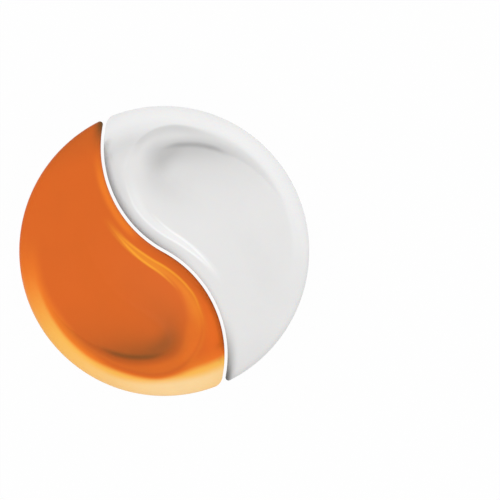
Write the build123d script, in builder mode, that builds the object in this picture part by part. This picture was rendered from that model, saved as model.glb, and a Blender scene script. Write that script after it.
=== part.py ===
from build123d import *

import os
from math import acos, cos, degrees, radians, sin, sqrt, tan

# A flat round hand eraser cut by an S-shaped seam into two nesting comma-shaped halves. Millimetres.
# The origin is the middle of the disc on its underside, +Z is up, and the two ends of the seam lie on
# the Y axis. The white half has its broad head at +Y and the orange half has it at -Y.

os.makedirs("parts", exist_ok=True)

# Disc
disc_diameter = 48.0
thickness = 12.0

# Seam between the halves: two equal arcs that meet at the middle of the disc
seam_radius = 19.5
seam_gap = 0.5

# Edges and corners of one half: the upper edge is rounded broadly at the head and slimly at the tail
top_round = 2.8
tail_round = 1.0
round_steps = 8
bottom_chamfer = 0.8
head_corner_radius = 2.4
tail_tip_radius = 0.5

# Seam edge at the head: it rolls down over a broad reach, sinks towards the head, and leaves an outer
# lip along the disc's edge
roll_reach = 4.2
roll_drop = 2.8
roll_tilt = 7.5
roll_pivot = 7.0
lip_width = 3.4
lip_lean = 60.0

# Thumb recess: its rim, its wall leaning out from upright, a ramp for the tip of the thumb at the
# head, and a floor that rises from the foot of the ramp and fades out into the top before the tail
rim_width = 3.05
seam_rim_width = 2.0
recess_corner_radius = 7.8
recess_wall_lean = 50.0
ramp_foot = 15.2
ramp_slope = 30.0
floor_slope = 6.7
fade_distance = 7.4
fade_slope = 2.0
fade_round = 60.0

# The recess floor is cupped across, and a soft bank leads from the seam rim down into it
cup_radius = 95.0
cup_middle = 6.5
bank_round = 22.0
bank_slope = 25.0
bank_toe_slope = 14.0
bank_overlap = 0.6

# Everything below follows from the sizes above
disc_radius = disc_diameter / 2
arc_offset = sqrt(seam_radius**2 - (disc_radius / 2) ** 2)
head_centre = Vector(arc_offset, disc_radius / 2)
tail_centre = -head_centre
head_direction = degrees(acos(arc_offset / seam_radius))
tail_direction = head_direction + 180
head_side_radius = seam_radius - seam_gap / 2
tail_side_radius = seam_radius + seam_gap / 2
recess_depth = (ramp_foot + fade_distance) * tan(radians(floor_slope))
ramp_rise = (disc_radius - ramp_foot) * tan(radians(ramp_slope))
fade_rise = disc_radius * tan(radians(fade_slope))
air_top = thickness + ramp_rise + fade_rise


def around(centre, radius, angle):
    """The point at a radius and an angle in degrees about a centre."""
    return centre + Vector(radius * cos(radians(angle)), radius * sin(radians(angle)))


def meeting(radius, seam_side, direction):
    """Where a circle about the disc's middle meets one about the seam arc's centre that way."""
    swing = acos((radius**2 + seam_radius**2 - seam_side**2) / (2 * radius * seam_radius))
    return around(Vector(), radius, direction + degrees(swing))


def arc_between(start, end, centre):
    """The shorter arc about a centre from one point to another."""
    half_turn = (start - centre).get_signed_angle(end - centre, Vector(0, 0, 1)) / 2
    ThreePointArc(start, centre + (start - centre).rotate(Axis.Z, half_turn), end)


def comma(plane, outer_inset, seam_inset, corner_radius, tip_radius=0):
    """A half's outline, drawn in from the disc's edge and the seam, with its head corner rounded.

    The tail's tip is rounded too where a radius is given for it.
    """
    outer = disc_radius - outer_inset
    head_side = head_side_radius - seam_inset
    tail_side = tail_side_radius + seam_inset
    corner = meeting(outer, head_side, head_direction)
    tip = meeting(outer, tail_side, tail_direction)
    waist = around(head_centre, head_side, tail_direction)
    with BuildSketch(plane) as outline:
        with BuildLine():
            ThreePointArc(tip, around(Vector(), outer, 0), corner)
            arc_between(corner, waist, head_centre)
            arc_between(waist, tip, tail_centre)
        make_face()
        corners = outline.vertices().sort_by(Axis.Y)
        fillet(corners[-1], corner_radius)
        if tip_radius:
            fillet(corners[0], tip_radius)
    return outline.sketch


def edge_section(base, angle):
    """The outline at an angle up the rounded edge, drawn in further at the head than at the tail."""
    height = thickness - top_round * (1 - sin(radians(angle)))
    head_inset = top_round * (1 - cos(radians(angle)))
    tail_rise = max(height - thickness + tail_round, 0)
    tail_inset = tail_round - sqrt(tail_round**2 - tail_rise**2)
    shift = (head_inset - tail_inset) / 2
    plane = Plane(base.from_local_coords((0, -shift, height)), x_dir=base.x_dir)
    corner_radius = head_corner_radius - tail_inset
    return comma(plane, tail_inset + shift, tail_inset, corner_radius, tail_tip_radius)


def air_along_seam(base, before, start, middle, end, fall):
    """The air over a surface that follows the seam on both sides of the waist.

    Its section is a line to a start point, an arc from there through a middle point to an end point,
    and a line that falls on at a slope. A point is a distance in from the seam's edge and a height.
    """
    sides = (
        (head_centre, head_side_radius, -1, head_side_radius),
        (tail_centre, tail_side_radius, 1, disc_diameter),
    )
    waistward = base.from_local_coords(tail_centre).normalized()
    with BuildPart() as air:
        for centre, edge, inward, far in sides:
            section = Plane(
                base.from_local_coords(centre),
                x_dir=waistward * -inward,
                z_dir=waistward.rotate(Axis.Z, 90) * inward,
            )
            far_height = end[1] - (far - end[0]) * tan(radians(fall))
            straight = [end, (far, far_height), (far, air_top), (before[0], air_top), before, start]
            curved = [start, middle, end]
            with BuildSketch(section):
                with BuildLine():
                    Polyline(*[(edge + inward * inset, height) for inset, height in straight])
                    ThreePointArc(*[(edge + inward * inset, height) for inset, height in curved])
                make_face()
            revolve(axis=Axis(section.origin, (0, 0, -1)), revolution_arc=180)
    return air.part


def bank_air(base):
    """The air over the bank on the recess's seam side."""
    steepest = radians(bank_slope)
    curve = []
    for slope in (bank_slope, (bank_slope + bank_toe_slope) / 2, bank_toe_slope):
        inset = seam_rim_width + bank_round * (sin(steepest) - sin(radians(slope)))
        height = thickness - bank_round * (cos(radians(slope)) - cos(steepest))
        curve.append((inset, height))
    before = (seam_rim_width - bank_overlap, thickness + bank_overlap * tan(steepest))
    return air_along_seam(base, before, *curve, bank_toe_slope)


def roll_air(base):
    """The air over the rolled seam edge, kept inside the outer lip at the head."""
    foot = thickness - roll_drop
    midway = sin(radians(45))
    middle = (roll_reach * (1 - midway), foot + roll_drop * midway)
    air = air_along_seam(base, (-roll_reach, foot), (0, foot), middle, (roll_reach, thickness), 0)
    pivot = Axis(base.from_local_coords((0, roll_pivot, thickness)), base.x_dir)
    lip_radius = disc_radius - lip_width
    with BuildPart() as inside:
        add(air.rotate(pivot, -roll_tilt))
        with BuildSketch(Plane.XZ):
            with BuildLine():
                Polyline(
                    (0, thickness - lip_radius / tan(radians(lip_lean))),
                    (lip_radius + (air_top - thickness) * tan(radians(lip_lean)), air_top),
                    (0, air_top),
                    close=True,
                )
            make_face()
        revolve(axis=Axis.Z, mode=Mode.INTERSECT)
    return inside.part


# Both halves are one moulding, and the second is the first after half a turn
for name, turn in (("white_eraser", 0), ("orange_eraser", 180)):
    base = Plane.XY.rotated((0, 0, turn))
    side = Plane(base.from_local_coords((cup_middle, 0, 0)), x_dir=base.y_dir, z_dir=base.x_dir)
    cup_axis = Axis(base.from_local_coords((cup_middle, 0, thickness + cup_radius)), base.y_dir)
    bank = bank_air(base)
    roll = roll_air(base)

    # The air in the recess: a mouth with sloping walls over a floor that is drawn from the side
    with BuildPart() as recess:
        mouth_seam_inset = seam_rim_width - bank_overlap
        mouth = comma(base.offset(thickness), rim_width, mouth_seam_inset, recess_corner_radius)
        extrude(mouth, amount=-recess_depth, taper=recess_wall_lean)
        with BuildSketch(side) as floor_air:
            with BuildLine():
                Polyline(
                    (-fade_distance, thickness),
                    (ramp_foot, thickness - recess_depth),
                    (disc_radius, thickness - recess_depth + ramp_rise),
                    (disc_radius, air_top),
                    (-fade_distance - disc_radius, air_top),
                    (-fade_distance - disc_radius, thickness + fade_rise),
                    close=True,
                )
            make_face()
            fade_corner = floor_air.vertices().sort_by_distance((-fade_distance, thickness))[0]
            fillet(fade_corner, fade_round)
        revolve(axis=cup_axis, mode=Mode.INTERSECT)
        add(bank, mode=Mode.INTERSECT)

    # One half: a slab with a bevelled underside and a rounded upper edge, less the recess and the air
    # over the rolled seam edge
    foot_corner = head_corner_radius - bottom_chamfer
    sections = [
        comma(base, bottom_chamfer, bottom_chamfer, foot_corner, tail_tip_radius),
        comma(base.offset(bottom_chamfer), 0, 0, head_corner_radius, tail_tip_radius),
    ]
    sections += [edge_section(base, 90 * step / round_steps) for step in range(round_steps + 1)]
    with BuildPart() as eraser:
        loft(sections, ruled=True)
        add(recess.part, mode=Mode.SUBTRACT)
        add(roll, mode=Mode.SUBTRACT)
    eraser.part.label = name
    export_step(eraser.part, f"parts/{name}.step")
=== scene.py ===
"""Dresses a round two-piece hand eraser: two nesting comma-shaped rubber halves, white and orange."""

from math import acos, atan2, cos, pi, radians, sin, sqrt
from typing import NamedTuple

import bmesh
import bpy
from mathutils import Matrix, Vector


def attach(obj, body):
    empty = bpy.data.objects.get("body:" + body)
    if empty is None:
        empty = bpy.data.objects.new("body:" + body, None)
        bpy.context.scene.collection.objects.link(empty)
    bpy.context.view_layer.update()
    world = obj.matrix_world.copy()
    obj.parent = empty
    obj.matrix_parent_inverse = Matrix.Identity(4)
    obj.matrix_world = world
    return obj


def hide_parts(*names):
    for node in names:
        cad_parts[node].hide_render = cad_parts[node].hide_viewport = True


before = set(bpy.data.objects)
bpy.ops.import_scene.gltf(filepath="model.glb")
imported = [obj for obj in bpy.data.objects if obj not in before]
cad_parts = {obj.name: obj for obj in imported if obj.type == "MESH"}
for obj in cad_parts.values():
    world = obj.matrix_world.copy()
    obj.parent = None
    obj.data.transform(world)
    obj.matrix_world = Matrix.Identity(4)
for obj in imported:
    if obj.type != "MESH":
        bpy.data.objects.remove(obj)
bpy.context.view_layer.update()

bl_info = {
    "name": "Nesting Hand Eraser",
    "version": (1, 0, 0),
    "blender": (4, 5, 0),
    "location": "View3D > Sidebar > Eraser",
    "description": "Makes the two rubber halves of a round hand eraser and a plain stage for them",
    "category": "Object",
}

MM = 0.001

# Points along the seam: head corner, head side, tail side and tail tip
SEAM_STEPS = (24, 110, 120, 6)
# Points along the disc's edge: head corner, edge and tail tip, as many in all as along the seam
DISC_STEPS = (24, 230, 6)
# Rings up the small lower round, the upright wall and the upper edge
BASE_RINGS = 6
WALL_RINGS = 7
EDGE_RINGS = 28
# Columns from the seam to the disc's edge, and how much those of the top pack together near both rims
BASE_COLUMNS = 14
TOP_COLUMNS = 150
TOP_PACKING = 0.62
# Points closer together than this become one
WELD_REACH = 0.0001 * MM

# The white half lies as its plan is drawn, and the orange one is turned by half a turn
AS_DRAWN = 1.0
HALF_TURNED = -1.0
TREE_NAME = "thumb_recess"

LAMP_DISTANCE = 0.45
LAMP_WIDTH = 0.40
CAMERA_HEIGHT = 0.6
FLOOR_REACH = 3.0
# Share of plain white in what the camera sees of the floor; the rest keeps the shadow
FLOOR_GLOW = 0.97
PLAIN_WHITE = (1.0, 1.0, 1.0, 1.0)


def span(start, end):
    """Two lengths in millimetres, as metres."""
    return start * MM, end * MM


def length(name, description, millimetres):
    """A size in metres that a user may change."""
    return bpy.props.FloatProperty(
        name=name, description=description, default=millimetres * MM, min=0.0, unit="LENGTH", precision=5
    )


def slope(name, description, degrees):
    """An angle that a user may change."""
    return bpy.props.FloatProperty(
        name=name, description=description, default=radians(degrees), unit="ROTATION"
    )


def tint(name, description, red, green, blue):
    """A colour that a user may change."""
    return bpy.props.FloatVectorProperty(
        name=name,
        description=description,
        default=(red, green, blue),
        size=3,
        min=0.0,
        max=1.0,
        subtype="COLOR",
    )


def brightness(name, description, default):
    """A strength of light that a user may change."""
    return bpy.props.FloatProperty(name=name, description=description, default=default, min=0.0)


class EraserSizes(bpy.types.PropertyGroup):
    """Sizes of one comma-shaped half, shared by both."""

    disc_radius: length("Disc radius", "Radius of the whole round eraser", 24.0)
    thickness: length("Thickness", "Height of the rim over the underside", 12.0)
    seam_radius: length("Seam radius", "Radius of each of the two arcs of the S-shaped seam", 19.5)
    seam_gap: length("Seam gap", "Width of the gap between the halves", 0.5)
    top_round: length("Top round", "Radius of the rounded upper edge", 2.8)
    tail_round: length("Tail round", "Radius of the upper edge along the tail", 1.0)
    tail_seam_round: length("Tail seam round", "Radius of the upper edge along the tail's seam side", 0.9)
    base_round: length("Base round", "Radius of the small rounded lower edge", 0.9)
    head_corner: length("Head corner", "Radius of the outline's corner at the head", 2.0)
    tail_tip: length("Tail tip", "Radius of the outline's sharp tail tip", 0.5)
    rim_width: length("Rim width", "Width of the rim along the disc's edge", 3.05)
    seam_rim: length("Seam rim width", "Width of the rim along the seam", 2.0)
    seam_roll: length("Seam roll", "Reach of the rounded seam edge at the head", 4.2)
    seam_cut: length("Seam cut", "How much of the seam roll's steep foot is left off", 0.9)
    lip_drop: length("Lip drop", "How far the seam rim lies below the outer lip at the head", 1.0)
    mouth_corner: length("Recess corner", "Radius of the recess mouth's corner at the head", 8.4)
    wall_slope: slope("Wall slope", "Slope of the recess wall along the disc's edge", 40.0)
    head_slope: slope("Head slope", "Slope of the recess wall round the head", 36.0)
    seam_slope: slope("Seam slope", "Slope of the recess wall along the seam", 28.0)
    floor_slope: slope("Floor slope", "Slope of the recess floor", 6.7)
    side_slope: slope("Side slope", "How the recess floor rises towards the disc's edge", 4.9)
    fade: length("Fade distance", "From the disc's middle to where the floor meets the top", 7.4)
    crest_soft: length("Crest softness", "Softness of the rim's inner edge", 0.40)
    crease_soft: length("Crease softness", "Softness of the crease at the outer wall's foot", 0.18)
    seam_crease_soft: length("Seam crease softness", "Softness of the crease on the seam side", 4.5)


class EraserColours(bpy.types.PropertyGroup):
    """Colours of the rubber and the stage."""

    white_body: tint("White rubber", "Body colour of the white half", 0.818, 0.813, 0.808)
    # The lip, rim, shoulder and ridge colours are painted highlights
    white_glow: tint("White lip", "Lip where the white half's rim begins to pale", 0.82, 0.82, 0.82)
    white_rim: tint("White rim", "Paler rim of the white half", 0.885, 0.885, 0.885)
    white_shine: tint("White shoulder", "Palest part of the white half's rim", 0.872, 0.872, 0.872)
    white_ridge: tint("White ridge", "Painted highlight on the ridge along the white half's seam", 0.99, 0.99, 0.99)
    # The crease colour is painted shade, for the recess, its creases, the seam edge and the tail tip
    white_deep: tint("White crease", "Painted shade in the creases of the white half", 0.26, 0.257, 0.253)
    orange_body: tint("Orange rubber", "Body colour of the orange half", 0.745, 0.133, 0.005)
    # The lip, rim, shoulder and ridge colours are painted highlights
    orange_glow: tint("Orange lip", "Lip where the orange half's rim begins to pale", 0.93, 0.22, 0.010)
    orange_rim: tint("Orange rim", "Paler rim of the orange half", 0.98, 0.50, 0.078)
    orange_shine: tint("Orange shoulder", "Palest part of the orange half's rim", 0.98, 0.68, 0.33)
    orange_ridge: tint("Orange ridge", "Painted highlight on the ridge along the orange half's seam", 1.0, 0.375, 0.018)
    # The crease colour is painted shade, for the recess, its creases, the seam edge and the tail tip
    orange_deep: tint("Orange crease", "Painted shade in the creases of the orange half", 0.065, 0.056, 0.008)
    floor_pale: tint("Floor", "Pale floor", 0.90, 0.90, 0.90)


# Parts of each half's colour: glow, rim, shine and ridge are painted highlights, deep is painted shade
SHADES = ("body", "glow", "rim", "shine", "ridge", "deep")


class EraserStage(bpy.types.PropertyGroup):
    """Light and view."""

    view_turn: slope("View turn", "Turn of the camera about the vertical", -23.7)
    view_width: length("View width", "Width of what the camera sees", 82.76)
    view_right: length("View offset", "From the disc's middle to the picture's, to the right", 14.20)
    view_up: length("View rise", "From the disc's middle to the picture's, upwards", 0.16)
    sky: brightness("Sky", "Strength of the even light", 0.86)
    key: brightness("Key", "Strength of each half's soft lamp", 0.12)
    key_turn: slope("Key turn", "Turn of the white half's lamp; the other one is opposite", 50.0)
    key_lift: slope("Key lift", "Height of both lamps over the horizon", 52.0)


class RubberLook(NamedTuple):
    """Where one half's rubber carries painted highlights and painted shade. Its shares of painted
    highlight and painted shade are 1 at most.
    """

    # Direction about the disc's axis in which the rim's painted highlight is palest
    pale_turn: float
    # Cosines off that direction where the rim's painted highlight begins and where it is palest
    pale_from: float
    pale_to: float
    # Shares of the rim's width that the painted highlight covers fully and at all
    rim_full: float
    rim_end: float
    # Direction in which the painted highlight on the rim's shoulder is palest
    shoulder_turn: float
    # Share of the painted highlights on the seam edges and the recess wall
    wear: float
    # How fast the painted shade along the tail fades away from its tip
    tip_fading: float
    # Shares of painted shade at the tail's seam edge, cap and end, along the seam, under the lip and in
    # the recess
    tip_dust: float
    tip_cap: float
    tip_end: float
    seam_dust: float
    lip_dust: float
    deep_dust: float


WHITE_LOOK = RubberLook(
    pale_turn=radians(25),
    pale_from=0.42,
    pale_to=1.02,
    rim_full=0.85,
    rim_end=1.12,
    shoulder_turn=radians(85),
    wear=0.0,
    tip_fading=1.0,
    tip_dust=1.0,
    tip_cap=0.9,
    tip_end=0.08,
    seam_dust=0.2,
    lip_dust=0.17,
    deep_dust=0.44,
)
ORANGE_LOOK = RubberLook(
    pale_turn=radians(258),
    pale_from=-0.10,
    pale_to=0.55,
    rim_full=0.71,
    rim_end=0.99,
    shoulder_turn=radians(254),
    wear=0.9,
    tip_fading=5.6,
    tip_dust=0.98,
    tip_cap=0.25,
    tip_end=0.18,
    seam_dust=0.0,
    lip_dust=0.05,
    deep_dust=0.48,
)


class Field:
    """One value in a node tree; arithmetic on it adds Math nodes."""

    def __init__(self, graph, socket):
        self.graph = graph
        self.socket = socket

    def math(self, operation, *others):
        sockets = dict(enumerate((self, *others)))
        return self.graph.field("ShaderNodeMath", {"operation": operation}, sockets)

    def __add__(self, other):
        return self.math("ADD", other)

    __radd__ = __add__

    def __mul__(self, other):
        return self.math("MULTIPLY", other)

    __rmul__ = __mul__

    def __sub__(self, other):
        return self.math("SUBTRACT", other)

    def __rsub__(self, other):
        return self * -1.0 + other

    def __truediv__(self, other):
        return self.math("DIVIDE", other)

    def lowest(self, other):
        return self.math("MINIMUM", other)

    def highest(self, other):
        return self.math("MAXIMUM", other)

    def power(self, exponent):
        return self.math("POWER", exponent)

    def root(self):
        return self.math("SQRT")

    def tangent(self):
        return self.math("TANGENT")

    def over(self, other):
        return self.math("GREATER_THAN", other)

    def soft_lowest(self, other, reach):
        return self.math("SMOOTH_MIN", other, reach)

    def soft_highest(self, other, reach):
        return self.math("SMOOTH_MAX", other, reach)

    def toward(self, other, share):
        """Part of the way from this value to another."""
        return self + (other - self) * share

    def blend(self, start, end):
        """0 before start, 1 past end, and a smooth step between."""
        settings = {"interpolation_type": "SMOOTHSTEP"}
        sockets = {"Value": self, "From Min": start, "From Max": end}
        return self.graph.field("ShaderNodeMapRange", settings, sockets, "Result")

    def near(self, place, reach):
        """1 at a place, and smoothly down to 0 within reach of it."""
        return (self - place).math("ABSOLUTE").blend(reach, 0.0)


class Graph:
    """A node tree that is filled in by expressions."""

    def __init__(self, tree):
        self.tree = tree

    def node(self, kind, settings=None, sockets=None):
        """Any node, with its settings first and then its sockets' values or links."""
        made = self.tree.nodes.new(kind)
        for name, setting in (settings or {}).items():
            setattr(made, name, setting)
        for key, value in (sockets or {}).items():
            target = made.inputs[key]
            if isinstance(value, Field):
                value = value.socket
            if isinstance(value, bpy.types.NodeSocket):
                self.tree.links.new(value, target)
            else:
                target.default_value = value
        return made

    def field(self, kind, settings=None, sockets=None, output=0):
        """One output of a new node, ready for arithmetic."""
        return Field(self, self.node(kind, settings, sockets).outputs[output])

    def attribute(self, name):
        """A number that the mesh carries, read in a material."""
        return self.field("ShaderNodeAttribute", {"attribute_name": name}, output="Fac")

    def mix(self, share, first, second):
        """A colour part of the way from one to another."""
        settings = {"data_type": "RGBA", "clamp_factor": True}
        made = self.node("ShaderNodeMix", settings)
        colours = [socket for socket in made.inputs if socket.type == "RGBA"]
        self.tree.links.new(share.socket, made.inputs[0])
        for target, value in zip(colours, (first, second)):
            if isinstance(value, bpy.types.NodeSocket):
                self.tree.links.new(value, target)
            else:
                target.default_value = (*value, 1.0)
        return next(socket for socket in made.outputs if socket.type == "RGBA")


def hypotenuse(first, second):
    """Length of the long side over two others at right angles."""
    return (first * first + second * second).root()


def quarter_round(distance, drop, reach):
    """How far a rounded edge lies below the rim, if it falls by drop within reach of the outline."""
    short = 1.0 - (distance / reach).highest(0.0).lowest(1.0)
    return drop * (1.0 - (1.0 - short * short).highest(0.0).root())


class Comma:
    """The plan of one half, with its head at +Y: where outlines run and how deep a point lies inside."""

    def __init__(self, sizes):
        self.sizes = sizes
        offset = sqrt(sizes.seam_radius**2 - (sizes.disc_radius / 2) ** 2)
        self.head = Vector((offset, sizes.disc_radius / 2))
        self.turn = atan2(self.head.y, self.head.x)
        self.head_side = sizes.seam_radius - sizes.seam_gap / 2
        self.tail_side = sizes.seam_radius + sizes.seam_gap / 2

    def meeting(self, outer, side, turn):
        """Where a circle about the disc's middle meets one about the seam arc's centre that way."""
        seam = self.sizes.seam_radius
        swing = turn + acos((outer**2 + seam**2 - side**2) / (2 * outer * seam))
        return Vector((outer * cos(swing), outer * sin(swing)))

    def outline(self, outer_inset, seam_inset, corner_radius, tip_radius):
        """Points from the head corner's middle to the tail tip, along the seam and along the disc."""
        outer = self.sizes.disc_radius - outer_inset
        head_side = self.head_side - seam_inset
        tail_side = self.tail_side + seam_inset
        waist = self.turn + pi
        corner = self.meeting(outer - corner_radius, head_side - corner_radius, self.turn)
        corner_out = atan2(corner.y, corner.x)
        corner_in = atan2(corner.y - self.head.y, corner.x - self.head.x) % (2 * pi)
        corner_mid = (corner_out + corner_in) / 2
        tip = self.meeting(outer - tip_radius, tail_side + tip_radius, waist)
        tip_out = atan2(tip.y, tip.x)
        tip_in = atan2(-self.head.y - tip.y, -self.head.x - tip.x)
        tip_mid = (tip_out + 2 * pi + tip_in) / 2
        tail_end = atan2(tip.y + self.head.y, tip.x + self.head.x)
        middle = Vector((0.0, 0.0))
        seam_runs = (
            (corner, corner_radius, corner_mid, corner_in),
            (self.head, head_side, corner_in, waist),
            (-self.head, tail_side, self.turn, tail_end),
            (tip, tip_radius, tip_in, tip_mid),
        )
        disc_runs = (
            (corner, corner_radius, corner_mid, corner_out),
            (middle, outer, corner_out, tip_out),
            (tip, tip_radius, tip_out + 2 * pi, tip_mid),
        )
        return walk(seam_runs, SEAM_STEPS), walk(disc_runs, DISC_STEPS)

    def depth_in(self, point, outer_inset, seam_inset, corner_radius):
        """How far a point lies inside an outline, less than nothing outside it."""
        radius = self.sizes.disc_radius - outer_inset
        outer = radius - point.length
        head_side = self.head_side - seam_inset
        if self.head.x * point.y - self.head.y * point.x > 0.0:
            seam = head_side - (point - self.head).length
        else:
            seam = (point + self.head).length - self.tail_side - seam_inset
        corner = self.meeting(radius - corner_radius, head_side - corner_radius, self.turn)
        away = point - corner
        toward = corner - self.head
        past_disc = corner.x * away.y - corner.y * away.x > 0.0
        past_seam = toward.x * away.y - toward.y * away.x < 0.0
        if past_disc and past_seam:
            return corner_radius - away.length
        return min(outer, seam)


def walk(runs, steps):
    """Points along a chain of arcs, each given as centre, radius, first angle and last angle."""
    points = []
    for (centre, radius, first, last), count in zip(runs, steps):
        for step in range(count):
            angle = first + (last - first) * step / count
            points.append(centre + Vector((cos(angle), sin(angle))) * radius)
    centre, radius, first, last = runs[-1]
    points.append(centre + Vector((cos(last), sin(last))) * radius)
    return points


class RingMesh:
    """A half's points and faces, ring by ring from its underside; lifted is 1 on the top and 0 below."""

    def __init__(self):
        self.points = []
        self.faces = []
        self.lifted = []
        self.ring = []

    def add_point(self, point, height, lifted):
        self.points.append((point.x, point.y, height))
        self.lifted.append(lifted)
        return len(self.points) - 1

    def add_ring(self, outline, height, lifted):
        """A ring along the seam from the head and back along the disc, joined to the ring below."""
        seam, disc = outline
        lower = self.ring
        self.ring = [self.add_point(point, height, lifted) for point in seam + disc[-2:0:-1]]
        count = len(lower)
        for index in range(count):
            after = (index + 1) % count
            self.faces.append((lower[index], lower[after], self.ring[after], self.ring[index]))

    def fill(self, outline, shares, height, lifted):
        """Rows of faces across the last ring, from its seam side to its disc side."""
        seam, disc = outline
        last = len(seam) - 1
        columns = len(shares) + 1
        rows = [[self.ring[0]] * (columns + 1)]
        for index in range(1, last):
            row = [self.ring[index]]
            for share in shares:
                row.append(self.add_point(seam[index].lerp(disc[index], share), height, lifted))
            rows.append(row + [self.ring[-index]])
        rows.append([self.ring[last]] * (columns + 1))
        for before, after in zip(rows, rows[1:]):
            for column in range(columns):
                corners = (before[column], after[column], after[column + 1], before[column + 1])
                single = tuple(dict.fromkeys(corners))
                if len(single) > 2:
                    self.faces.append(single if lifted else single[::-1])


def add_side(rings, comma):
    """The underside, its small round and the upright wall."""
    sizes = comma.sizes
    base = sizes.base_round
    for step in range(BASE_RINGS + 1):
        angle = pi / 2 * step / BASE_RINGS
        inset = base * (1 - sin(angle))
        tip = max(sizes.tail_tip - inset, 0.0)
        outline = comma.outline(inset, inset, sizes.head_corner - inset, tip)
        rings.add_ring(outline, base * (1 - cos(angle)), 0.0)
        if step == 0:
            shares = [column / BASE_COLUMNS for column in range(1, BASE_COLUMNS)]
            rings.fill(outline, shares, 0.0, 0.0)
    outline = comma.outline(0.0, 0.0, sizes.head_corner, sizes.tail_tip)
    brow = sizes.thickness - sizes.top_round
    for step in range(1, WALL_RINGS):
        rings.add_ring(outline, base + (brow - base) * step / WALL_RINGS, 0.0)


def add_top(rings, comma):
    """The edge up to the recess mouth, in rings packed at both ends, and the top inside it."""
    sizes = comma.sizes
    for step in range(EDGE_RINGS + 1):
        share = (1 - cos(pi * step / EDGE_RINGS)) / 2
        outline = comma.outline(
            sizes.rim_width * share,
            sizes.seam_rim * share,
            sizes.head_corner + (sizes.mouth_corner - sizes.head_corner) * share,
            max(sizes.tail_tip - sizes.rim_width * share, 0.0),
        )
        rings.add_ring(outline, sizes.thickness, 1.0)
    shares = []
    for column in range(1, TOP_COLUMNS):
        even = column / TOP_COLUMNS
        shares.append(even - TOP_PACKING * sin(2 * pi * even) / (2 * pi))
    rings.fill(outline, shares, sizes.thickness, 1.0)


def flat_half(name, sizes, half_turn):
    """A half's mesh with a level top, carrying each point's depth in the outline and in the mouth."""
    comma = Comma(sizes)
    rings = RingMesh()
    add_side(rings, comma)
    add_top(rings, comma)
    mesh = bpy.data.meshes.new(name)
    mesh.from_pydata([(half_turn * x, half_turn * y, z) for x, y, z in rings.points], [], rings.faces)
    mesh.validate()
    outline = (0.0, 0.0, sizes.head_corner)
    mouth = (sizes.rim_width, sizes.seam_rim, sizes.mouth_corner)
    plan = [Vector(point[:2]) for point in rings.points]
    carried = {
        "inset": [comma.depth_in(point, *outline) for point in plan],
        "mouth": [comma.depth_in(point, *mouth) for point in plan],
        "lifted": rings.lifted,
    }
    for key, values in carried.items():
        mesh.attributes.new(key, "FLOAT", "POINT").data.foreach_set("value", values)
    return mesh


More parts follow.
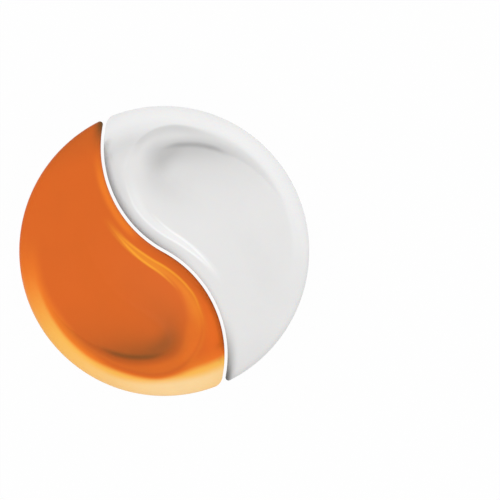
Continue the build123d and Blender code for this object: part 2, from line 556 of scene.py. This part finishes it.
class TopRule:
    """The rule for a half's top, as fields over its plan with the head at +Y: its height and marks."""

    def __init__(self, graph, size):
        self.graph = graph
        self.size = size
        position = graph.node("GeometryNodeInputPosition").outputs[0]
        self.parts = graph.node("ShaderNodeSeparateXYZ", sockets={0: position}).outputs
        self.x = Field(graph, self.parts[0]) * size["half_turn"]
        self.y = Field(graph, self.parts[1]) * size["half_turn"]
        self.inset = self.carried("inset")
        self.mouth = self.carried("mouth")
        self.lifted = self.carried("lifted")
        self.head_end = self.y.over(0.0)
        # 0 low on the wall and 1 on top; only the marks read it, on the finished shape
        self.upper = Field(graph, self.parts[2]).blend(*span(4.5, 11.5))
        self.from_edge = size["disc_radius"] - hypotenuse(self.x, self.y)
        self.from_seam = self.seam_distance()
        self.seamward = self.seam_side()
        self.lean = self.wall_lean()
        self.wall = size["thickness"] - self.mouth * self.lean
        self.depth = self.floor_depth()
        self.floor = size["thickness"] - self.depth
        self.past_foot = (self.floor - self.wall) / self.lean

    def carried(self, name):
        """A number that the flat mesh carries."""
        return self.graph.field("GeometryNodeInputNamedAttribute", {"data_type": "FLOAT"}, {"Name": name})

    def across(self, start, end):
        """0 to 1 between two places on the X axis, in millimetres."""
        return self.x.blend(*span(start, end))

    def along(self, start, end):
        """0 to 1 between two places on the Y axis, in millimetres."""
        return self.y.blend(*span(start, end))

    def off_seam(self, start, end):
        """0 to 1 between two distances from the seam, in millimetres."""
        return self.from_seam.blend(*span(start, end))

    def off_foot(self, start, end):
        """0 to 1 between two distances past the foot of the recess wall, in millimetres."""
        return self.past_foot.blend(*span(start, end))

    def patch(self, centre, reach):
        """1 in the middle of an oval and 0 at its outline, given in millimetres."""
        right = (self.x - centre[0] * MM) / (reach[0] * MM)
        up = (self.y - centre[1] * MM) / (reach[1] * MM)
        return hypotenuse(right, up).blend(1.0, 0.0)

    def seam_distance(self):
        """Distance from the seam, whose arc changes over at the disc's middle."""
        seam_radius = self.size["seam_radius"]
        half_gap = self.size["seam_gap"] * 0.5
        head_y = self.size["disc_radius"] * 0.5
        head_x = (seam_radius * seam_radius - head_y * head_y).root()
        head_depth = seam_radius - half_gap - hypotenuse(self.x - head_x, self.y - head_y)
        tail_depth = hypotenuse(self.x + head_x, self.y + head_y) - seam_radius - half_gap
        at_head = (head_x * self.y - head_y * self.x).over(0.0)
        return tail_depth.toward(head_depth, at_head)

    def seam_side(self):
        """0 in the half of the recess by the disc's edge and 1 in the half by the seam."""
        past_rim = self.from_edge - self.size["rim_width"]
        past_seam_rim = self.from_seam - self.size["seam_rim"]
        return (past_rim - past_seam_rim).blend(*span(-3.5, 4.0))

    def wall_lean(self):
        """How steeply the recess wall falls: less round the head, and least along the seam."""
        round_head = self.across(13.5, 6.5)
        outer = self.size["wall_slope"].tangent().toward(self.size["head_slope"].tangent(), round_head)
        return outer.toward(self.size["seam_slope"].tangent(), self.seamward)

    def floor_depth(self):
        """Depth of the recess floor: it fades out towards the tail and rises towards the disc's edge."""
        rise_start = 9.0 * MM
        rise_softness = 3.0 * MM
        past_start = (self.x - rise_start).soft_highest(0.0, rise_softness)
        fall = (self.y + self.size["fade"]) * self.size["floor_slope"].tangent()
        return fall - past_start * self.size["side_slope"].tangent()

    def edge_height(self):
        """Height of the rounded edges: slim along the tail, broad and rolling along the head's seam."""
        size = self.size
        head_round = size["top_round"]
        past_waist = self.along(-5.0, 3.0)
        more_at_tip = 2.0 * MM
        disc_drop = size["tail_round"].toward(head_round, self.along(-12.0, 3.0))
        disc_reach = disc_drop + more_at_tip * self.across(9.0, 0.5) * self.head_end
        disc_fall = quarter_round(self.from_edge, disc_drop, disc_reach)

        seam_drop = size["tail_seam_round"].toward(head_round, past_waist * self.along(20.5, 17.5))
        seam_reach = seam_drop + (size["seam_roll"] - head_round) * self.along(5.0, 15.0)
        foot = size["seam_cut"] * (past_waist + self.along(7.0, 14.0)) * 0.5
        seam_fall = quarter_round(self.from_seam + foot, seam_drop, seam_reach + foot)

        corner_share = 0.2
        corner_foot = foot * corner_share
        corner_drop = disc_drop.lowest(seam_drop)
        corner_fall = quarter_round(self.inset + corner_foot, corner_drop, corner_drop + corner_foot)
        sharpness = 3.0
        both_falls = (disc_fall.power(sharpness) + seam_fall.power(sharpness)).power(1.0 / sharpness)
        below_lip = size["lip_drop"] * self.from_edge.blend(*span(3.4, 6.0)) * self.along(5.0, 13.0)
        return size["thickness"] - both_falls.highest(corner_fall) - below_lip

    def place(self):
        """Where a point of the top lies: on the rounded edge or in the recess, past a soft crest."""
        crease = self.size["crease_soft"].toward(self.size["seam_crease_soft"], self.seamward)
        recess = self.wall.soft_highest(self.floor, crease)
        softer_by_seam = 0.9 * MM
        softer_by_side = 0.8 * MM
        crest = self.size["crest_soft"] + self.seamward * self.along(16.0, 12.0) * softer_by_seam
        crest = crest + self.across(13.0, 18.0) * softer_by_side
        top = self.edge_height().soft_lowest(recess, crest)
        sockets = {0: self.parts[0], 1: self.parts[1], 2: top}
        return self.graph.node("ShaderNodeCombineXYZ", sockets=sockets).outputs[0]

    def marks(self):
        """What the rubber reads at each point of the half, by name: where its painted highlights and
        painted shade lie.
        """
        return {
            **self.rim_marks(),
            **self.recess_marks(),
            **self.lip_marks(),
            **self.ridge_marks(),
            **self.seam_marks(),
            **self.tip_marks(),
        }

    def rim_marks(self):
        """The rim along the disc's edge, which carries a painted highlight: how far across it a point
        lies, and its shoulder.
        """
        plain_rim = 2.78 * MM
        more_at_side = 0.3 * MM
        more_at_tip = 1.55 * MM
        rim = plain_rim + more_at_side * self.across(19.0, 15.0) * self.head_end
        rim = rim + more_at_tip * self.across(10.5, 2.0) * self.head_end
        reach = self.from_edge / rim
        hard_lip = self.across(3.0, 6.0) * self.across(18.0, 15.0) * self.head_end
        soft_side = self.across(16.0, 20.5) * self.along(-4.0, 6.0)
        shorter = 0.2
        longer = 0.18
        plain_shoulder = 2.15 * MM
        more_at_head = 1.15 * MM
        full_share = 0.55
        shoulder = plain_shoulder + more_at_head * self.across(17.0, 5.0) * self.head_end
        upper = self.upper * self.lifted.highest(self.from_edge.blend(*span(3.2, 0.2)))
        return {
            "rim_reach": reach,
            "soft_reach": reach * (1.0 + hard_lip * shorter - soft_side * longer),
            "upper": upper,
            "shoulder": self.from_edge.blend(shoulder, shoulder * full_share) * upper * upper,
        }

    def recess_marks(self):
        """The face of the recess wall, which carries a painted highlight, and painted shade in the crease
        at its foot and over the deep end.
        """
        beside = self.across(14.0, 17.0)
        face_start = beside * (0.7 * MM) - 0.9 * MM
        face_end = beside * (0.9 * MM) - 2.2 * MM
        wall = self.past_foot.blend(face_start, face_end) * self.mouth.blend(*span(0.2, 0.8))
        crease_place = self.across(14.0, 18.0) * (0.5 * MM) - 0.12 * MM
        crease_reach = 0.75 * MM
        crease = self.past_foot.near(crease_place, crease_reach) * self.across(5.5, 10.0)
        return {
            "wall": wall * self.lifted,
            "crease": crease * self.depth.blend(*span(1.3, 1.95)) * self.lifted,
            "shade": self.deep_shade().lowest(1.0) * self.lifted,
        }

    def deep_shade(self):
        """Painted shade from the wall's foot inwards, with a softer start where the wall leans more."""
        close_share = 0.5
        broad_share = 0.4
        nook_share = 0.32
        close = self.off_foot(4.8, 0.0) * self.along(7.5, 15.0) * close_share
        broad = self.off_foot(14.0, 0.0) * self.along(0.0, 15.0) * broad_share
        nook = self.patch(centre=(5.6, 14.6), reach=(5.2, 3.6)) * nook_share
        slack = self.across(10.0, 4.0).highest(self.seamward)
        start = slack * (-1.2 * MM) - 1.9 * MM
        end = slack * (2.9 * MM) + 0.2 * MM
        return (close + broad) * self.past_foot.blend(start, end) + nook

    def lip_marks(self):
        """Painted shade: the fine line under the outer lip, and a patch where the lip ends at the head.
        """
        line = self.mouth.blend(*span(-0.25, 0.1)) * self.mouth.blend(*span(1.7, 0.15))
        stretch = self.across(1.5, 4.0) * self.across(15.0, 10.0) * self.along(12.0, 15.0)
        # A patch of painted shade where the lip ends at the head
        smudge = self.patch(centre=(1.5, 18.0), reach=(4.0, 2.4))
        return {"lip_line": line * stretch * self.lifted, "smudge": smudge * self.lifted}

    def ridge_marks(self):
        """Painted highlights: two lines along the seam, the strip between them and the crest where they
        end.
        """
        line_share = 0.56
        second_share = 1.3
        crest_share = 0.1
        joined = self.along(-0.5, -6.5)
        first_place = 1.95 * MM + joined * (0.45 * MM) + self.along(8.0, 12.5) * (0.5 * MM)
        first_place = first_place + self.along(12.0, 15.5) * (0.7 * MM)
        first = self.from_seam.near(first_place, 0.34 * MM) * self.along(17.0, 6.0)
        second_place = 2.85 * MM - joined * (0.3 * MM) + self.along(-3.0, 8.0) * (0.7 * MM)
        second = self.from_seam.near(second_place, 0.30 * MM) * self.along(7.5, 3.0)
        lines = first.highest(second * second_share) * line_share
        spread = self.along(6.0, 12.0) * (1.4 * MM)
        strip_share = 0.27 + 0.25 * self.along(6.0, 1.0) + 0.1 * self.along(8.0, 12.0)
        strip = self.from_seam.blend(1.7 * MM, spread * 0.4 + 2.1 * MM)
        strip = strip * self.from_seam.blend(spread + 3.4 * MM, 2.9 * MM) * strip_share
        ridge = (lines + strip) * (self.along(-9.5, -0.8) * self.along(17.0, 8.0))
        crest = self.mouth.near(0.0, 0.6 * MM) * self.across(5.0, 1.0) * self.along(7.0, 11.0)
        return {"ridge": ridge.highest(crest * crest_share) * self.lifted}

    def seam_marks(self):
        """Painted highlights along the seam edge, from the tail round the waist to the head, and painted
        shade at its foot.
        """
        head_share = 0.75
        corner_share = 1.9
        tail = self.from_seam.near(0.6 * MM, 1.1 * MM) * self.along(-2.5, -6.5) * self.along(-21.0, -14.0)
        waist = self.off_seam(1.0, 0.0) * self.along(-2.0, 6.0) * self.along(14.0, 9.0)
        head = self.off_seam(4.5, 0.5) * self.along(6.0, 13.0) * self.along(21.5, 19.5)
        corner = self.along(20.9, 19.7) * self.along(17.8, 19.2)
        # Where painted shade lies along the seam edge
        shade_along_seam = self.along(-5.0, 2.0) * self.along(18.5, 15.5) + corner * corner_share
        return {
            # Painted highlights on the seam edge, and painted shade along it
            "worn_edge": tail * self.lifted,
            "head_worn": (head * head_share).highest(waist) * self.lifted,
            "seam_dust": self.off_seam(1.3, 0.0) * shade_along_seam * self.upper,
        }

    def tip_marks(self):
        """Painted shade along the tail's seam edge and at its tip."""
        falling = 1.5
        return {
            "tip_dust": self.off_seam(2.1, 0.0).power(falling) * self.upper,
            "tip_reach": self.along(-13.0, -24.5),
            "tip_cap": self.off_seam(1.1, 0.1) * self.along(-21.2, -23.8) * self.upper,
            "tip_end": self.along(-18.0, -24.0) * self.upper,
        }


def recess_tree(sizes):
    """The tree that shapes a half's top, stores the marks for its rubber and sets its material."""
    tree = bpy.data.node_groups.new(TREE_NAME, "GeometryNodeTree")
    tree.interface.new_socket("Geometry", in_out="INPUT", socket_type="NodeSocketGeometry")
    tree.interface.new_socket("Geometry", in_out="OUTPUT", socket_type="NodeSocketGeometry")
    for name in (*sizes.__annotations__, "half_turn"):
        tree.interface.new_socket(name, in_out="INPUT", socket_type="NodeSocketFloat")
    tree.interface.new_socket("rubber", in_out="INPUT", socket_type="NodeSocketMaterial")

    graph = Graph(tree)
    start = graph.node("NodeGroupInput")
    size = {socket.name: Field(graph, socket) for socket in start.outputs if socket.type == "VALUE"}
    rule = TopRule(graph, size)
    moved = {
        "Geometry": start.outputs["Geometry"],
        "Selection": rule.lifted.over(0.5),
        "Position": rule.place(),
    }
    shaped = graph.node("GeometryNodeSetPosition", sockets=moved).outputs[0]
    for name, value in rule.marks().items():
        shaped = graph.node(
            "GeometryNodeStoreNamedAttribute",
            {"data_type": "FLOAT", "domain": "POINT"},
            {"Geometry": shaped, "Name": name, "Value": value},
        ).outputs[0]
    whole = graph.node("GeometryNodeRealizeInstances", sockets={"Geometry": shaped}).outputs[0]
    dressed = graph.node(
        "GeometryNodeSetMaterial", sockets={"Geometry": whole, "Material": start.outputs["rubber"]}
    ).outputs[0]
    graph.node("NodeGroupOutput", sockets={"Geometry": dressed})
    return tree


def blank_material(name):
    """A new material and the graph of its empty node tree."""
    material = bpy.data.materials.new(name)
    material.use_nodes = True
    material.node_tree.nodes.clear()
    return material, Graph(material.node_tree)


def noise(graph, place, scale, detail, roughness):
    """Soft random patches, from 0 to 1."""
    sockets = {"Vector": place, "Scale": scale, "Detail": detail, "Roughness": roughness}
    return graph.field("ShaderNodeTexNoise", sockets=sockets)


def facing(graph, place, turn):
    """Cosine of the angle between a point's direction from the disc's axis and a given one."""
    split = graph.node("ShaderNodeSeparateXYZ", sockets={0: place})
    x = Field(graph, split.outputs[0])
    y = Field(graph, split.outputs[1])
    return (x * cos(turn) + y * sin(turn)) / hypotenuse(x, y).highest(MM)


def highlighted_colour(graph, place, shades, look):
    """The body colour with painted highlights: on the rim, its lip and shoulder, along the seam edges, on
    the recess wall and on the ridge.
    """
    # Reach and turn of the lip's painted highlight, and strengths of the painted highlights on the
    # shoulder, the recess wall and the seam edges
    lip_reach = 0.45
    lip_turn = 0.3
    shoulder_power = 4.0
    wall_highlight = 0.4
    highlight_lift = 1.33
    highlighted_body = [min(highlight_lift * part, 1.0) for part in shades["body"]]
    toward_pale = facing(graph, place, look.pale_turn)
    upper = graph.attribute("upper")
    # Painted highlight across the rim, its lip and its shoulder, strongest on one side of the disc
    lip = graph.attribute("soft_reach").blend(look.rim_end + lip_reach, look.rim_full) * upper
    lip = lip * toward_pale.blend(look.pale_from - lip_turn, look.pale_from + lip_turn)
    rim = graph.attribute("rim_reach").blend(look.rim_end, look.rim_full) * upper
    rim = rim * toward_pale.blend(look.pale_from, look.pale_to)
    shoulder = facing(graph, place, look.shoulder_turn).highest(0.0).power(shoulder_power)
    shoulder = graph.attribute("shoulder") * shoulder
    # Painted highlights on the rim's lip, along the tail's seam edge and along the head's seam edge
    lip_or_tail = lip.highest(graph.attribute("worn_edge") * look.wear)
    colour = graph.mix(lip_or_tail, shades["body"], shades["glow"])
    colour = graph.mix(graph.attribute("head_worn") * look.wear, colour, highlighted_body)
    colour = graph.mix(rim, colour, shades["rim"])
    colour = graph.mix(shoulder, colour, shades["shine"])
    # Painted highlight on the recess wall's face
    colour = graph.mix(graph.attribute("wall") * look.wear * wall_highlight, colour, shades["glow"])
    # Painted highlight on the ridge along the seam
    return graph.mix(graph.attribute("ridge"), colour, shades["ridge"])


def shaded_and_dusty_colour(graph, colour, clouds, deep, look):
    """The same colour under painted shade: in the recess and its creases, under the lip, along the seam
    edge and at the tip, with a faint random darker tone over all.
    """
    # Shares of painted shade in the crease and at the lip's end, of a faint random darker tone, and the
    # tail cap's darker painted shade
    crease_shade = 0.32
    lip_end_share = 0.5
    cloud_dust = 0.04
    cap_share = 0.35
    cap_colour = [part * cap_share for part in deep]
    deep_dust = look.deep_dust + clouds * 0.08
    foot_shade = crease_shade + clouds * 0.14
    edge = graph.attribute("seam_dust").highest(graph.attribute("smudge") * lip_end_share)
    tip = graph.attribute("tip_dust") * graph.attribute("tip_reach").power(look.tip_fading)
    # Painted shade in the recess and its crease, under the lip, along the seam edge and at the tail tip
    colour = graph.mix(graph.attribute("shade") * deep_dust, colour, deep)
    colour = graph.mix(graph.attribute("crease") * foot_shade, colour, deep)
    colour = graph.mix(graph.attribute("lip_line") * look.lip_dust, colour, deep)
    colour = graph.mix(edge * look.seam_dust, colour, deep)
    colour = graph.mix(tip * look.tip_dust, colour, deep)
    colour = graph.mix(graph.attribute("tip_cap") * look.tip_cap, colour, cap_colour)
    colour = graph.mix(graph.attribute("tip_end") * look.tip_end, colour, deep)
    return graph.mix(clouds.blend(0.40, 0.80) * cloud_dust, colour, deep)


def rubber(name, shades, look):
    """Smooth satin moulded rubber, with painted highlights along the rim, seam edges and ridge, painted
    shade in the recess and creases, and a faint random darker tone.
    """
    material, graph = blank_material(name)
    place = graph.node("ShaderNodeTexCoord").outputs["Object"]
    clouds = noise(graph, place, scale=130.0, detail=3.0, roughness=0.55)
    grain = noise(graph, place, scale=5200.0, detail=2.0, roughness=0.6)
    colour = highlighted_colour(graph, place, shades, look)
    colour = shaded_and_dusty_colour(graph, colour, clouds, shades["deep"], look)
    # Light that has bounced off one half stays neutral, so that it doesn't tint the other
    bounced = graph.field("ShaderNodeLightPath", output="Is Diffuse Ray")
    colour = graph.mix(bounced, colour, [max(shades["body"])] * 3)
    relief = {"Strength": 0.12, "Distance": 0.04 * MM, "Height": grain + clouds * 0.6}
    skin = graph.node(
        "ShaderNodeBsdfPrincipled",
        sockets={
            "Base Color": colour,
            "Roughness": 0.40 + clouds * 0.10 + grain * 0.05,
            "Normal": graph.node("ShaderNodeBump", sockets=relief).outputs[0],
            "Specular IOR Level": 0.25,
            "Subsurface Weight": 0.12,
            "Subsurface Radius": (1.0, 0.6, 0.35),
            "Subsurface Scale": 1.5 * MM,
        },
    )
    graph.node("ShaderNodeOutputMaterial", sockets={"Surface": skin.outputs[0]})
    return material


def weld(mesh):
    """Joins points that lie on one another, so that no face is without area."""
    shape = bmesh.new()
    shape.from_mesh(mesh)
    bmesh.ops.remove_doubles(shape, verts=shape.verts, dist=WELD_REACH)
    shape.to_mesh(mesh)
    shape.free()


def make_half(name, node, body, half_turn, material):
    """One finished half, riding on its body in place of the plain solid."""
    scene = bpy.context.scene
    sizes = scene.eraser_sizes
    flat = flat_half(name, sizes, half_turn)
    piece = bpy.data.objects.new(name, flat)
    scene.collection.objects.link(piece)
    tree = bpy.data.node_groups.get(TREE_NAME) or recess_tree(sizes)
    inputs = {item.name: item.identifier for item in tree.interface.items_tree if item.in_out == "INPUT"}
    form = piece.modifiers.new("form", "NODES")
    form.node_group = tree
    for key in sizes.__annotations__:
        form[inputs[key]] = getattr(sizes, key)
    form[inputs["half_turn"]] = half_turn
    form[inputs["rubber"]] = material
    evaluated = piece.evaluated_get(bpy.context.evaluated_depsgraph_get())
    shaped = bpy.data.meshes.new_from_object(evaluated)
    piece.modifiers.remove(form)
    piece.data = shaped
    bpy.data.meshes.remove(flat)
    shaped.name = name
    weld(shaped)
    shaped.shade_smooth()
    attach(piece, body)
    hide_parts(node)
    return piece


def shades_of(colours, half):
    """The colours of one half's rubber, by their part in it."""
    return {part: getattr(colours, f"{half}_{part}") for part in SHADES}


class ERASER_OT_white_half(bpy.types.Operator):
    """Make the white half"""

    bl_idname = "eraser.white_half"
    bl_label = "White Half"

    def execute(self, context):
        shades = shades_of(context.scene.eraser_colours, "white")
        skin = rubber("white_rubber", shades, WHITE_LOOK)
        piece = make_half("white_rubber_half", "white_eraser", "white_half", AS_DRAWN, skin)
        return {"FINISHED"}


class ERASER_OT_orange_half(bpy.types.Operator):
    """Make the orange half"""

    bl_idname = "eraser.orange_half"
    bl_label = "Orange Half"

    def execute(self, context):
        shades = shades_of(context.scene.eraser_colours, "orange")
        skin = rubber("orange_rubber", shades, ORANGE_LOOK)
        piece = make_half("orange_rubber_half", "orange_eraser", "orange_half", HALF_TURNED, skin)
        return {"FINISHED"}


def soft_lamp(name, piece, turn, stage):
    """A large soft lamp that lights one half alone, at a turn about the vertical."""
    lift = stage.key_lift
    direction = Vector((cos(turn) * cos(lift), sin(turn) * cos(lift), sin(lift)))
    lamp = bpy.data.lights.new(name, "AREA")
    lamp.shape = "DISK"
    lamp.size = LAMP_WIDTH
    # A level white surface under it shines at about the key's strength
    lamp.energy = stage.key * pi**2 * LAMP_DISTANCE**2 / sin(lift)
    spot = bpy.data.objects.new(name, lamp)
    spot.location = direction * LAMP_DISTANCE
    spot.rotation_euler = direction.to_track_quat("Z", "Y").to_euler()
    spot.visible_camera = False
    lit = bpy.data.collections.new(name)
    lit.objects.link(piece)
    spot.light_linking.receiver_collection = lit
    bpy.context.scene.collection.objects.link(spot)


def seen_directly(graph):
    """1 for what the camera sees, straight or by reflection or through glass, and 0 for other light."""
    path = graph.node("ShaderNodeLightPath")
    seen = Field(graph, path.outputs["Is Camera Ray"])
    seen = seen.highest(Field(graph, path.outputs["Is Glossy Ray"]))
    return seen.highest(Field(graph, path.outputs["Is Transmission Ray"]))


def pale_floor(colour):
    """A plain pale floor that the camera sees near white, with the shadow kept."""
    ends = (-FLOOR_REACH, FLOOR_REACH)
    mesh = bpy.data.meshes.new("floor")
    mesh.from_pydata([(x, y, 0.0) for y in ends for x in ends], [], [(0, 1, 3, 2)])
    floor = bpy.data.objects.new("floor", mesh)
    material, graph = blank_material("pale_floor")
    matt = graph.node("ShaderNodeBsdfDiffuse", sockets={"Color": (*colour, 1.0)}).outputs[0]
    glow = graph.node("ShaderNodeEmission", sockets={"Color": PLAIN_WHITE, "Strength": 1.0}).outputs[0]
    share = seen_directly(graph) * FLOOR_GLOW
    surface = graph.node("ShaderNodeMixShader", sockets={0: share, 1: matt, 2: glow}).outputs[0]
    graph.node("ShaderNodeOutputMaterial", sockets={"Surface": surface})
    mesh.materials.append(material)
    bpy.context.scene.collection.objects.link(floor)


def even_light(strength):
    """Even light from all sides, which the camera sees as plain white."""
    sky = bpy.data.worlds.new("even_light")
    sky.use_nodes = True
    sky.node_tree.nodes.clear()
    graph = Graph(sky.node_tree)
    level = strength + seen_directly(graph) * (1.0 - strength)
    light = graph.node("ShaderNodeBackground", sockets={"Color": PLAIN_WHITE, "Strength": level})
    graph.node("ShaderNodeOutputWorld", sockets={"Surface": light.outputs[0]})
    bpy.context.scene.world = sky


def overhead_camera(stage):
    """A camera that looks straight down, turned and offset as the stage says."""
    eye = bpy.data.cameras.new("overhead")
    eye.type = "ORTHO"
    eye.ortho_scale = stage.view_width
    camera = bpy.data.objects.new("overhead", eye)
    right = Vector((cos(stage.view_turn), sin(stage.view_turn), 0.0))
    up = Vector((-sin(stage.view_turn), cos(stage.view_turn), 0.0))
    above = Vector((0.0, 0.0, CAMERA_HEIGHT))
    camera.location = right * stage.view_right + up * stage.view_up + above
    camera.rotation_euler = (0.0, 0.0, stage.view_turn)
    bpy.context.scene.collection.objects.link(camera)
    bpy.context.scene.camera = camera


class ERASER_OT_stage(bpy.types.Operator):
    """Make the floor, the light and the camera"""

    bl_idname = "eraser.stage"
    bl_label = "Stage"

    def execute(self, context):
        scene = context.scene
        stage = scene.eraser_stage
        pale_floor(scene.eraser_colours.floor_pale)
        even_light(stage.sky)
        white = bpy.data.objects["white_rubber_half"]
        orange = bpy.data.objects["orange_rubber_half"]
        soft_lamp("lamp_for_white", white, stage.key_turn, stage)
        soft_lamp("lamp_for_orange", orange, stage.key_turn + pi, stage)
        overhead_camera(stage)
        scene.view_settings.view_transform = "Standard"
        return {"FINISHED"}


class ERASER_PT_panel(bpy.types.Panel):
    """Sizes, colours and makers of the eraser"""

    bl_idname = "ERASER_PT_panel"
    bl_label = "Nesting Hand Eraser"
    bl_space_type = "VIEW_3D"
    bl_region_type = "UI"
    bl_category = "Eraser"

    def draw(self, context):
        scene = context.scene
        for group in (scene.eraser_sizes, scene.eraser_colours, scene.eraser_stage):
            box = self.layout.box()
            for name in group.__annotations__:
                box.prop(group, name)
        for operator in (ERASER_OT_white_half, ERASER_OT_orange_half, ERASER_OT_stage):
            self.layout.operator(operator.bl_idname)


CLASSES = (
    EraserSizes,
    EraserColours,
    EraserStage,
    ERASER_OT_white_half,
    ERASER_OT_orange_half,
    ERASER_OT_stage,
    ERASER_PT_panel,
)


def register():
    for item in CLASSES:
        bpy.utils.register_class(item)
    bpy.types.Scene.eraser_sizes = bpy.props.PointerProperty(type=EraserSizes)
    bpy.types.Scene.eraser_colours = bpy.props.PointerProperty(type=EraserColours)
    bpy.types.Scene.eraser_stage = bpy.props.PointerProperty(type=EraserStage)


def unregister():
    del bpy.types.Scene.eraser_stage
    del bpy.types.Scene.eraser_colours
    del bpy.types.Scene.eraser_sizes
    for item in reversed(CLASSES):
        bpy.utils.unregister_class(item)


def main():
    register()
    bpy.ops.eraser.white_half()
    bpy.ops.eraser.orange_half()
    bpy.ops.eraser.stage()


if __name__ == "__main__":
    main()
